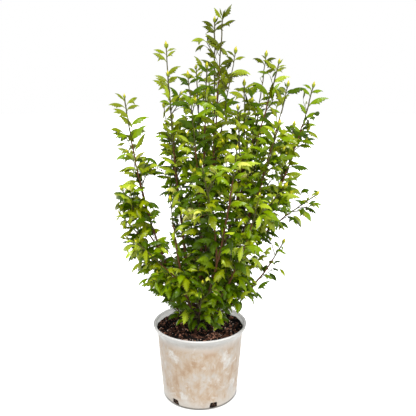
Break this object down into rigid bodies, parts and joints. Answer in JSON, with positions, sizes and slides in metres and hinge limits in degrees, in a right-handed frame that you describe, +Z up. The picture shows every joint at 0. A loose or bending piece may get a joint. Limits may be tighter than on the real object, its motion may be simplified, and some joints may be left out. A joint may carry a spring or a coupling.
{
  "type": "potted rose of sharon",
  "caption": "Upright leafy rose of sharon shrub with many slender stems, three-lobed leaves and green buds, in a round nursery pot of marbled plastic.",
  "frame": {"origin": "centre of the pot's flat underside", "axes": "+Z up along the pot's axis, -Y towards the front, +X to the right as seen from the front"},
  "size_m": [0.6213, 0.5305, 1.18],
  "materials": {
    "pot": "marbled beige and off-white satin plastic",
    "potting_mix": "coarse dark composted bark chips",
    "bark": "grey-brown young bark, greener up the shoots",
    "foliage": "satin mid green leaves with yellow-green buds"
  },
  "bodies": {
    "root": {"pot": "pot", "potting_mix": "potting_mix", "trunk": "bark", "stem_left": "bark", "stem_left_centre": "bark", "stem_centre_left": "bark", "stem_centre": "bark", "stem_right_centre": "bark", "stem_right_mid": "bark", "stem_right": "bark", "stem_low_right": "bark", "stem_front": "bark", "stem_front_left": "bark", "stem_front_right": "bark", "stem_back": "bark", "stem_back_left": "bark", "stem_back_right": "bark", "stem_back_low": "bark", "foliage_left": "foliage", "foliage_left_centre": "foliage", "foliage_centre_left": "foliage", "foliage_centre": "foliage", "foliage_right_centre": "foliage", "foliage_right_mid": "foliage", "foliage_right": "foliage", "foliage_low_right": "foliage", "foliage_front": "foliage", "foliage_front_left": "foliage", "foliage_front_right": "foliage", "foliage_back": "foliage", "foliage_back_left": "foliage", "foliage_back_right": "foliage", "foliage_back_low": "foliage", "foliage_skirt_front": "foliage", "foliage_skirt_front_left": "foliage", "foliage_skirt_front_right": "foliage", "foliage_skirt_right": "foliage", "foliage_skirt_back": "foliage", "foliage_skirt_back_left": "foliage"}
  },
  "joints": []
}
